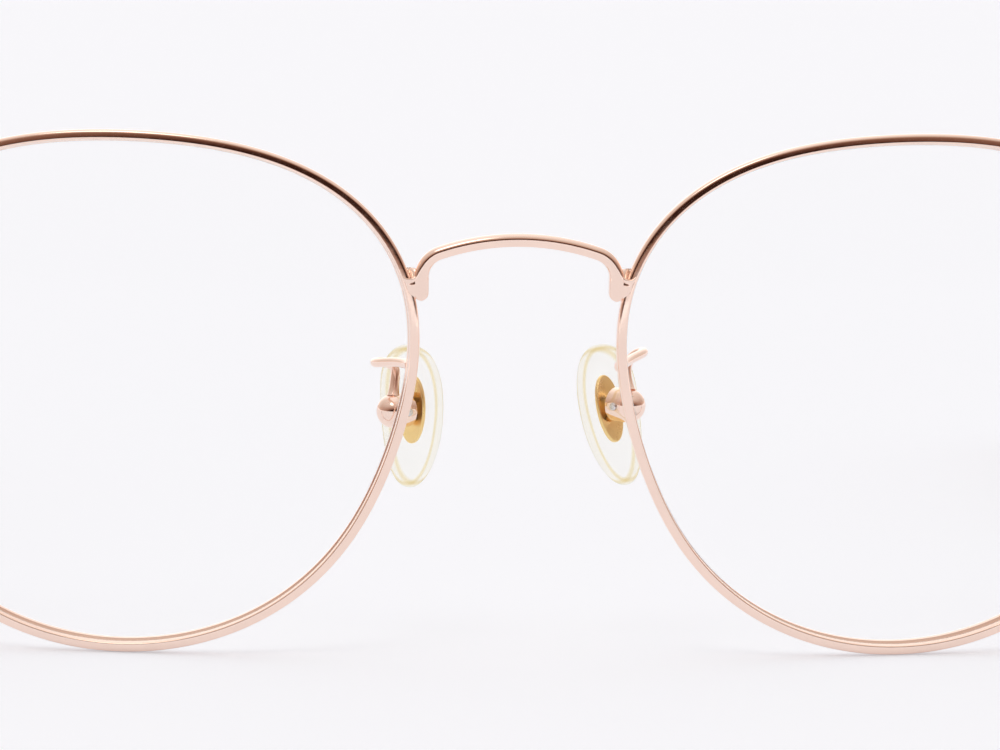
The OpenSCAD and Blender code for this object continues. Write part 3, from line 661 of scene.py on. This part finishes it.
def pad_arm(side):
    """Looped wire, a little thicker where it is soldered at either end."""
    name = f"pad_arm_{SIDES[side]}"
    path = spline(arm_route(side), 20)
    along = np.concatenate([[0], np.cumsum(np.linalg.norm(np.diff(path, axis=0), axis=1))])
    fillets = RIM_FILLET * np.exp(-along / RIM_FILLET_L)
    fillets += BOX_FILLET * np.exp(-(along[-1] - along) / BOX_FILLET_L)
    obj = mesh_object(f"{name}_wire", skin(wire(path, ARM_WIRE / 2 + fillets * ARM_WIRE)))
    finished(obj, side, Matrix(), ROSE_GOLD, "front", "rose_gold_metal", name)


def pad_box(side):
    """Round box with a domed front, a slot for the pad's lug and a bore for its screw."""
    name = f"pad_box_{SIDES[side]}"
    turns = np.linspace(0, math.pi / 2, 20)[:-1]
    dome = [(DOME_Y - BOX_R * math.cos(t), BOX_R * math.sin(t)) for t in turns]
    dome[0] = (DOME_Y - BOX_R, TINY)
    rear = [(DOME_Y, BOX_R), (BOX_REAR, BOX_R)]
    shape = joined(name, [
        turned(dome + rear, 72, "y"),
        block((-SLOT_HALF_W, SLOT_Y, -SLOT_HALF_H), (SLOT_HALF_W, 2 * BOX_R, SLOT_HALF_H)),
        turned([(-2 * BOX_R, PAD_PIN_R + TIGHT_GAP), (2 * BOX_R, PAD_PIN_R + TIGHT_GAP)], 40),
        turned([(PAD_HEAD_X, PAD_HEAD_R + RUN_GAP), (2 * BOX_R, PAD_HEAD_R + RUN_GAP)], 40),
    ], "DIFFERENCE")
    obj = edge_rounded(mesh_object(f"{name}_turned", shape), BOX_EDGE)
    finished(obj, side, PAD_PLACE[side], ROSE_GOLD, "front", "rose_gold_metal", name)


def slotted(name, profile, r, top, along, n=48):
    """Turned screw with a driver slot across its head; top is the head's face, on the axis."""
    low, high = top - SCREW_SLOT_D, top + SCREW_SLOT_D
    reach = r + 0.1
    corners = {
        "x": ((low, -reach, -SCREW_SLOT_W / 2), (high, reach, SCREW_SLOT_W / 2)),
        "z": ((-reach, -SCREW_SLOT_W / 2, low), (reach, SCREW_SLOT_W / 2, high)),
    }[along]
    return joined(name, [turned(profile, n, along), block(*corners)], "DIFFERENCE")


def pad_screw(side):
    name = f"pad_screw_{SIDES[side]}"
    head = PAD_HEAD_X + TIGHT_GAP
    profile = rounded_start(-BOX_R - PAD_PIN_PROUD, PAD_PIN_R, SCREW_END_EDGE)
    profile += [(head, PAD_PIN_R), (head, PAD_HEAD_R)]
    profile += rounded_stop(head + PAD_HEAD_H, PAD_HEAD_R, HEAD_EDGE)
    obj = mesh_object(f"{name}_turned", slotted(name, profile, PAD_HEAD_R, head + PAD_HEAD_H, "x"))
    finished(obj, side, PAD_PLACE[side], STEEL, "front", "screw_steel", name)


def lean(side):
    """Place of a pad, leaning about its screw."""
    return PAD_PLACE[side] @ Matrix.Rotation(-PAD_LEAN[side], 4, "X")


def pad_insert(side):
    """Oval plate with the lug that turns on the pad screw."""
    name = f"pad_insert_{SIDES[side]}"
    a = circle(72)
    rings = []
    for y, full in rounded_start(PLATE_Y0, 1, PLATE_EDGE) + rounded_stop(PLATE_Y1, 1, PLATE_EDGE):
        half_w, half_h = PLATE_HALF_W - (1 - full), PLATE_HALF_H - (1 - full)
        rings.append(np.stack([half_w * np.cos(a), np.full_like(a, y), half_h * np.sin(a)], -1))
    shape = joined(name, [
        skin(np.array(rings)),
        block((-LUG_HALF_W, 0, -LUG_HALF_W), (LUG_HALF_W, PLATE_Y0 + LUG_IN_PLATE, LUG_HALF_W)),
        turned([(-LUG_HALF_W, LUG_R), (LUG_HALF_W, LUG_R)], 48),
    ])
    hole = turned([(-BOX_R, PAD_PIN_R + RUN_GAP), (BOX_R, PAD_PIN_R + RUN_GAP)], 40)
    shape = joined(name, [shape, hole], "DIFFERENCE")
    obj = mesh_object(f"{name}_plate", shape)
    finished(obj, side, lean(side), PLATED_GOLD, f"nose_pad_{SIDES[side]}_body", "gold_plate", name)


def nose_pad(side):
    """Curved pad with a round edge, and a value on its mesh for the painted yellow light along that edge."""
    name = f"nose_pad_{SIDES[side]}"
    # The thickness falls with the sixth power of a ring's share; the outer rings are even round that edge
    full = 0.85
    flat = np.linspace(0.07, full, 10, endpoint=False)
    edge = np.sin(np.linspace(math.asin(full ** 3), math.pi / 2, 14)) ** (1 / 3)
    shares = np.concatenate([flat, edge])
    a = circle(112)

    def ring(share, face):
        x = share * PAD_W / 2 * soft(np.cos(a), PAD_ROUND) * (1 + PAD_TAPER * np.sin(a))
        z = share * PAD_L / 2 * soft(np.sin(a), PAD_ROUND)
        half_t = PAD_T / 2 * math.sqrt(max(1 - share ** 6, 0))
        y = PAD_MID - x * x / (2 * PAD_CURVE_W) - z * z / (2 * PAD_CURVE_L) + face * half_t
        return np.stack([x, y, z - PAD_DROP], -1)

    rings = [ring(s, -1) for s in shares] + [ring(s, 1) for s in shares[-2::-1]]
    front, rear = ([0, PAD_MID + face * PAD_T / 2, -PAD_DROP] for face in (-1, 1))
    shape = pointed_skin(np.array(rings), front, rear)
    obj = mesh_object(f"{name}_silicone", shape, math.radians(80))
    # share of painted edge light: a band just inside the pad's outline, fainter at its very rim
    painted_edge_light = obj.data.attributes.new(PAD_EDGE_LIGHT, "FLOAT", "POINT")
    power = 2 / PAD_ROUND
    for vertex, value in zip(obj.data.vertices, painted_edge_light.data):
        up = (vertex.co.z + PAD_DROP) / (PAD_L / 2)
        across = vertex.co.x / (PAD_W / 2) / (1 + PAD_TAPER * up)
        out = (abs(across) ** power + abs(up) ** power) ** (1 / power)
        band, outside_band = smooth_share(out, 0.89, 0.94), smooth_share(out, 0.95, 0.98)
        value.value = float(band * (1 - 0.8 * outside_band))
    finished(obj, side, lean(side), SILICONE, f"nose_pad_{SIDES[side]}_body", "clear_silicone", name)


# ---------------------------------------------------------------- rim locks, end pieces and hinges
def rim_lock(side):
    """The two halves of the block that closes the rim, bored for their screw."""
    gap = RIM_SPLIT / 2
    for level, z0, z1 in (("upper", gap, gap + LOCK_H), ("lower", -gap - LOCK_H, -gap)):
        name = f"rim_lock_{level}_{SIDES[side]}"
        pin_r = LOCK_PIN_R + (TIGHT_GAP if level == "upper" else RUN_GAP)
        cutters = [turned([(z0 - 0.5, pin_r), (z1 + 0.5, pin_r)], 40, "z")]
        if level == "lower":
            seat = z0 + LOCK_HEAD_H - LOCK_HEAD_OUT + 2 * RUN_GAP
            head_r = LOCK_HEAD_R + RUN_GAP
            cutters.append(turned([(z0 - 0.5, head_r), (seat, head_r)], 40, "z"))
        for cutter in cutters:
            cutter[0][:, 0] += LOCK_SCREW_X
        solid = block((LOCK_IN, -RIM_HALF, z0), (LOCK_OUT, RIM_HALF, z1))
        shape = joined(name, [solid, *cutters], "DIFFERENCE")
        obj = edge_rounded(mesh_object(f"{name}_block", shape), LOCK_EDGE)
        finished(obj, side, LOCK_PLACE, ROSE_GOLD, "front", "rose_gold_metal", name)


def rim_lock_screw(side):
    name = f"rim_lock_screw_{SIDES[side]}"
    low = -LOCK_H - LOCK_HEAD_OUT
    profile = rounded_start(low, LOCK_HEAD_R, LOCK_HEAD_EDGE)
    profile += [(low + LOCK_HEAD_H, LOCK_HEAD_R), (low + LOCK_HEAD_H, LOCK_PIN_R)]
    profile += rounded_stop(low + LOCK_SCREW_L, LOCK_PIN_R, SCREW_END_EDGE)
    obj = mesh_object(f"{name}_turned", slotted(name, profile, LOCK_HEAD_R, low, "z"))
    place = LOCK_PLACE @ Matrix.Translation((LOCK_SCREW_X, 0, 0))
    finished(obj, side, place, STEEL, "front", "screw_steel", name)


def end_piece(side):
    """Bar with rounded edges, bent from the rim lock back to the hinge."""
    name = f"end_piece_{SIDES[side]}"
    section = []
    for corner in range(4):
        sx = 1 if corner in (0, 3) else -1
        sz = 1 if corner < 2 else -1
        for a in np.linspace(0, math.pi / 2, 7) + corner * math.pi / 2:
            section.append([sx * (TEMPLE_T / 2 - END_EDGE_R) + END_EDGE_R * math.cos(a),
                            sz * (TEMPLE_H / 2 - END_EDGE_R) + END_EDGE_R * math.sin(a)])
    section = np.array(section)

    def ring(x, y, heading):
        return np.stack([x + section[:, 0] * math.sin(heading), y - section[:, 0] * math.cos(heading),
                         HINGE_Z + section[:, 1]], -1)

    turns = np.linspace(WRAP, math.pi / 2, 25)
    bend_x = TEMPLE_X - BEND_R
    rings = [ring(END_FROM[0], END_FROM[1], WRAP)]
    rings += [ring(bend_x + BEND_R * math.sin(a), LEG_Y - BEND_R * math.cos(a), a) for a in turns]
    rings += [ring(TEMPLE_X, JOINT_Y, math.pi / 2)]
    obj = mesh_object(f"{name}_bar", skin(np.array(rings)))
    edge_rounded(obj, END_EDGE, 2)
    finished(obj, side, Matrix(), ROSE_GOLD, "front", "rose_gold_metal", name)


def leaf_solids(back, long, low, high):
    """Plate of a hinge leaf and the arm to its knuckle; back is 1 towards the temple."""
    clear = KNUCKLE_R + LEAF_CLEAR
    x0 = KNUCKLE_R + RUN_GAP - LEAF_T
    ends = sorted((back * clear, back * long))
    arm = sorted((back * RUN_GAP, back * (clear + LEAF_IN_PLATE)))
    plate = block((x0, ends[0], -TEMPLE_H / 2), (x0 + LEAF_T, ends[1], TEMPLE_H / 2))
    return plate, block((0, arm[0], low), (KNUCKLE_R, arm[1], high))


def hinge_front_leaf(side):
    """Leaf with two knuckles and the seat for the screw's head."""
    name = f"hinge_front_leaf_{SIDES[side]}"
    gap = KNUCKLE_HALF + SLIDE_GAP
    solids = []
    for low, high in ((-HINGE_TOP, -gap), (gap, HINGE_TOP)):
        solids.append(turned([(low, KNUCKLE_R), (high, KNUCKLE_R)], 56, "z"))
        plate, arm = leaf_solids(-1, FRONT_LEAF_L, low, high)
        solids.append(arm)
    solids.append(plate)
    pin_r, head_r = HINGE_PIN_R + TIGHT_GAP, HINGE_HEAD_R + RUN_GAP
    bores = [turned([(-TEMPLE_H, pin_r), (TEMPLE_H, pin_r)], 40, "z"),
             turned([(HINGE_SEAT, head_r), (TEMPLE_H, head_r)], 40, "z")]
    shape = joined(name, [joined(name, solids), *bores], "DIFFERENCE")
    obj = edge_rounded(mesh_object(f"{name}_leaf", shape), LEAF_EDGE, 2)
    finished(obj, side, HINGE_PLACE, ROSE_GOLD, "front", "rose_gold_metal", name)


def hinge_temple_leaf(side):
    """Leaf with the one knuckle that turns between the other two."""
    name = f"hinge_temple_leaf_{SIDES[side]}"
    plate, arm = leaf_solids(1, TEMPLE_LEAF_L, -KNUCKLE_HALF, KNUCKLE_HALF)
    solids = [turned([(-KNUCKLE_HALF, KNUCKLE_R), (KNUCKLE_HALF, KNUCKLE_R)], 56, "z"), arm, plate]
    bore = turned([(-TEMPLE_H, HINGE_PIN_R + RUN_GAP), (TEMPLE_H, HINGE_PIN_R + RUN_GAP)], 40, "z")
    shape = joined(name, [joined(name, solids), bore], "DIFFERENCE")
    obj = edge_rounded(mesh_object(f"{name}_leaf", shape), LEAF_EDGE, 2)
    finished(obj, side, HINGE_PLACE, ROSE_GOLD, f"temple_{SIDES[side]}_body", "rose_gold_metal", name)


def hinge_screw(side):
    name = f"hinge_screw_{SIDES[side]}"
    head = HINGE_SEAT + TIGHT_GAP
    profile = rounded_start(-HINGE_TOP, HINGE_PIN_R, SCREW_END_EDGE)
    profile += [(head, HINGE_PIN_R), (head, HINGE_HEAD_R)]
    profile += rounded_stop(head + HINGE_HEAD_H, HINGE_HEAD_R, HEAD_EDGE)
    obj = mesh_object(f"{name}_turned", slotted(name, profile, HINGE_HEAD_R, head + HINGE_HEAD_H, "z"))
    finished(obj, side, HINGE_PLACE, STEEL, "front", "screw_steel", name)


# ---------------------------------------------------------------- temples and tips
def along_temple(s):
    """Place, fall and slope of a temple's middle line at a distance s from the joint."""
    a = np.clip((s - BAR_L) / EAR_R, 0, EAR_ANGLE)
    tail = np.maximum(s - BAR_L - BEND_L, 0)
    y = np.minimum(s, BAR_L) + EAR_R * np.sin(a) + tail * np.cos(a)
    z = -EAR_R * (1 - np.cos(a)) - tail * np.sin(a)
    return y, z, a


def temple_rings(s, half_w, half_h, power, n):
    """Sections across a temple's middle line at the distances s."""
    y, z, slope = along_temple(s)
    j = circle(n)
    x = half_w[:, None] * soft(np.cos(j), power[:, None])
    h = half_h[:, None] * soft(np.sin(j), power[:, None])
    slope = slope[:, None]
    return np.stack([x, y[:, None] + h * np.sin(slope), z[:, None] + h * np.cos(slope)], -1)


def temple(side):
    """Flat bar that narrows to a round core, with a rounded end at its hinge."""
    name = f"temple_{SIDES[side]}"
    end_back, end_inset = np.array([0, 0.1, 0.3]), np.array([0.12, 0.03, 0])
    s = np.concatenate([RUN_GAP + end_back, np.linspace(0.8, TIP_START, 60),
                        np.linspace(TIP_START + 1, BAR_L, 12), np.linspace(BAR_L + 1, BAR_L + BEND_L, 24),
                        [TEMPLE_L - TIP_R - CORE_SHORT]])
    waist, near = 48, TIP_START - 7
    half_w = np.interp(s, [0, waist, near, TIP_START], [TEMPLE_T / 2, 0.59, 0.62, CORE_R])
    half_h = np.interp(s, [0, 8, 27, waist, near, TIP_START], [TEMPLE_H / 2, 1.54, 1.15, 0.88, 0.74, CORE_R])
    power = np.interp(s, [0, waist, TIP_START - 2], [0.5, 0.7, 1])
    half_w[:len(end_inset)] -= end_inset
    half_h[:len(end_inset)] -= end_inset
    obj = mesh_object(f"{name}_metal", skin(temple_rings(s, half_w, half_h, power, 48)))
    finished(obj, side, TEMPLE_PLACE, ROSE_GOLD, f"temple_{SIDES[side]}_body", "rose_gold_metal", name)


def temple_tip(side):
    """Round plastic tip that swells from its mouth to the ear bend and ends in a dome."""
    name = f"temple_tip_{SIDES[side]}"
    mouth = np.linspace(0, math.pi / 2, 6)
    mouth_s = TIP_START + TIP_MOUTH_EDGE * (1 - np.cos(mouth))
    mouth_r = TIP_MOUTH_R - TIP_MOUTH_EDGE * (1 - np.sin(mouth))
    long_s = np.linspace(TIP_START + 1, TEMPLE_L - TIP_R, 90)
    long_r = TIP_MOUTH_R + (TIP_R - TIP_MOUTH_R) * smooth_share(long_s, TIP_START - 12, BAR_L - 2)
    dome = np.linspace(0, math.pi / 2, 14)[1:-1]
    dome_s, end_s, end_r = TEMPLE_L - TIP_R + TIP_R * np.sin(dome), TEMPLE_L - 0.002, 0.06
    s = np.concatenate([mouth_s, long_s, dome_s, [end_s]])
    r = np.concatenate([mouth_r, long_r, TIP_R * np.cos(dome), [end_r]])
    obj = mesh_object(f"{name}_plastic", skin(temple_rings(s, r, r, np.ones_like(s), 56)), math.radians(60))
    finished(obj, side, TEMPLE_PLACE, TIP, f"temple_{SIDES[side]}_body", "tip_acetate", name)


bridge()
MIRRORED_PIECES = (rim, lens, solder, pad_arm, pad_box, pad_screw, pad_insert, nose_pad,
                   rim_lock, rim_lock_screw, end_piece, hinge_front_leaf, hinge_temple_leaf, hinge_screw,
                   temple, temple_tip)
for which in SIDES:
    for make in MIRRORED_PIECES:
        make(which)


# ---------------------------------------------------------------- floor, light and camera
FLOOR_R = 30.0
FLOOR_STEPS = 96
FLOOR_TONES = ((0.808, 0.850, 0.912), (0.816, 0.858, 0.921))
FLOOR_GLOW = (0.207, 0.237, 0.265)
BACKDROP = (0.939, 0.930, 0.973)
TENT = 1.38
# The dim room in front of the tent: its middle, its reach sideways and up, and its tones from the middle out
ROOM_X, ROOM_HALF_W, ROOM_Z, ROOM_HALF_H = 0.05, 2.5, 0.03, 1.1
ROOM_FLOOR = (0.03, 0.07)
HORIZON = (0.88, 0.875, 0.89)
ROOM_TONES = (
    (0.0, (0.07, 0.03, 0.02)), (0.035, (0.07, 0.03, 0.02)), (0.05, (0.31, 0.19, 0.145)),
    (0.077, (0.26, 0.15, 0.11)), (0.093, (0.024, 0.009, 0.006)), (0.22, (0.024, 0.009, 0.006)),
    (0.25, (0.085, 0.038, 0.026)), (0.3, (0.165, 0.085, 0.06)), (0.36, (0.27, 0.165, 0.125)),
    (0.44, (0.37, 0.26, 0.215)), (0.54, (0.46, 0.37, 0.325)), (0.66, (0.54, 0.47, 0.43)),
    (0.8, (0.60, 0.54, 0.50)), (0.92, (0.82, 0.78, 0.76)), (1.0, (1.0, 0.985, 0.965)),
)
LAMP_TOWARDS, LAMP, LAMP_INNER, LAMP_OUTER = (-0.19, -0.51, 0.84), (2.1, 2.0, 1.85), 8, 13
CAMERA_YAW, CAMERA_RISE, CAMERA_ROLL = math.radians(5.5), math.radians(7.5), math.radians(1.0)
CAMERA_FAR, CAMERA_END = 2.5, 200
VIEW_W = 0.0903
AIM_RIGHT, AIM_UP = -0.0014, 0.00183
SENSOR = 36.0


def floor():
    """Wide sheet of pale paper that glows a little, as in a light tent."""
    obj = mesh_object("floor", turned([(-0.01, FLOOR_R), (0, FLOOR_R)], FLOOR_STEPS, "z"))
    material, nodes, links, shader = node_material("floor_paper")
    tone = noise(nodes, links, 3, 3)
    links.new(ramped(nodes, links, tone, 0.3, 0.7, *FLOOR_TONES), shader.inputs["Base Color"])
    shader.inputs["Roughness"].default_value = 0.7
    shader.inputs["Specular IOR Level"].default_value = 0.2
    shader.inputs["Emission Color"].default_value = (*FLOOR_GLOW, 1)
    shader.inputs["Emission Strength"].default_value = 1
    obj.data.materials.append(material)


def patch(nodes, links, direction, inner, outer):
    """1 inside a round patch of the sky, 0 outside it, soft between the two angles in degrees."""
    place = nodes.new("ShaderNodeTexCoord")
    dot = nodes.new("ShaderNodeVectorMath")
    dot.operation = "DOT_PRODUCT"
    dot.inputs[1].default_value = Vector(direction).normalized()
    links.new(place.outputs["Generated"], dot.inputs[0])
    soften = nodes.new("ShaderNodeMapRange")
    soften.interpolation_type = "SMOOTHSTEP"
    soften.inputs["From Min"].default_value = math.cos(math.radians(outer))
    soften.inputs["From Max"].default_value = math.cos(math.radians(inner))
    links.new(dot.outputs["Value"], soften.inputs["Value"])
    return soften.outputs["Result"]


def room_tones(nodes, links, split):
    """Tones of the dim room by the distance from its middle; behind the glasses there is only the tent."""
    far = nodes.new("ShaderNodeCombineXYZ")
    for axis, centre, reach in (("X", ROOM_X, ROOM_HALF_W), ("Z", ROOM_Z, ROOM_HALF_H)):
        part = nodes.new("ShaderNodeMath")
        part.operation = "MULTIPLY_ADD"
        part.inputs[1].default_value = 1 / reach
        part.inputs[2].default_value = -centre / reach
        links.new(split.outputs[axis], part.inputs[0])
        links.new(part.outputs["Value"], far.inputs[axis])
    behind = nodes.new("ShaderNodeMath")
    behind.operation = "MAXIMUM"
    behind.inputs[1].default_value = 0
    links.new(split.outputs["Y"], behind.inputs[0])
    links.new(behind.outputs["Value"], far.inputs["Y"])
    distance = nodes.new("ShaderNodeVectorMath")
    distance.operation = "LENGTH"
    links.new(far.outputs["Vector"], distance.inputs[0])
    tent = nodes.new("ShaderNodeValToRGB")
    ramp = tent.color_ramp.elements
    while len(ramp) < len(ROOM_TONES):
        ramp.new(0.5)
    for stop, (place_on_ramp, tone) in zip(ramp, ROOM_TONES):
        stop.position = place_on_ramp
        stop.color = (*tone, 1)
    links.new(distance.outputs["Value"], tent.inputs["Fac"])
    return tent.outputs["Color"]


def studio_light():
    """Soft tent and dim room for the reflections, and a plain backdrop for what the camera sees."""
    world = bpy.data.worlds.new("studio")
    bpy.context.scene.world = world
    world.use_nodes = True
    nodes, links = world.node_tree.nodes, world.node_tree.links
    place = nodes.new("ShaderNodeTexCoord")
    split = nodes.new("ShaderNodeSeparateXYZ")
    links.new(place.outputs["Generated"], split.inputs["Vector"])
    above = ranged(nodes, links, split.outputs["Z"], 0, 1, *ROOM_FLOOR)
    room = mixed(nodes, links, above, HORIZON, room_tones(nodes, links, split))
    lamp = patch(nodes, links, LAMP_TOWARDS, LAMP_INNER, LAMP_OUTER)
    studio = mixed(nodes, links, lamp, room, LAMP)
    light = nodes.new("ShaderNodeBackground")
    light.inputs["Strength"].default_value = TENT
    links.new(studio, light.inputs["Color"])
    seen = nodes.new("ShaderNodeBackground")
    seen.inputs["Color"].default_value = (*BACKDROP, 1)
    path = nodes.new("ShaderNodeLightPath")
    mix = nodes.new("ShaderNodeMixShader")
    links.new(path.outputs["Is Camera Ray"], mix.inputs["Fac"])
    links.new(light.outputs["Background"], mix.inputs[1])
    links.new(seen.outputs["Background"], mix.inputs[2])
    links.new(mix.outputs["Shader"], nodes["World Output"].inputs["Surface"])


def camera():
    """Camera with a long lens, in front of the glasses, a little above them and to one side."""
    data = bpy.data.cameras.new("camera")
    obj = bpy.data.objects.new("camera", data)
    bpy.context.scene.collection.objects.link(obj)
    data.sensor_width = SENSOR
    data.lens = SENSOR * CAMERA_FAR / VIEW_W
    data.clip_end = CAMERA_END
    towards = Vector((-math.sin(CAMERA_YAW) * math.cos(CAMERA_RISE),
                      -math.cos(CAMERA_YAW) * math.cos(CAMERA_RISE), math.sin(CAMERA_RISE)))
    turn = towards.to_track_quat("Z", "Y").to_matrix()
    right, up = turn.col[0], turn.col[1]
    aim = Vector((0, -MIDDLE_Y, LENS_Z)) * MM + AIM_RIGHT * right + AIM_UP * up
    place = Matrix.Translation(aim + CAMERA_FAR * towards)
    obj.matrix_world = place @ turn.to_4x4() @ Matrix.Rotation(CAMERA_ROLL, 4, "Z")
    bpy.context.scene.camera = obj


floor()
studio_light()
camera()
bpy.context.scene.view_settings.view_transform = "Standard"
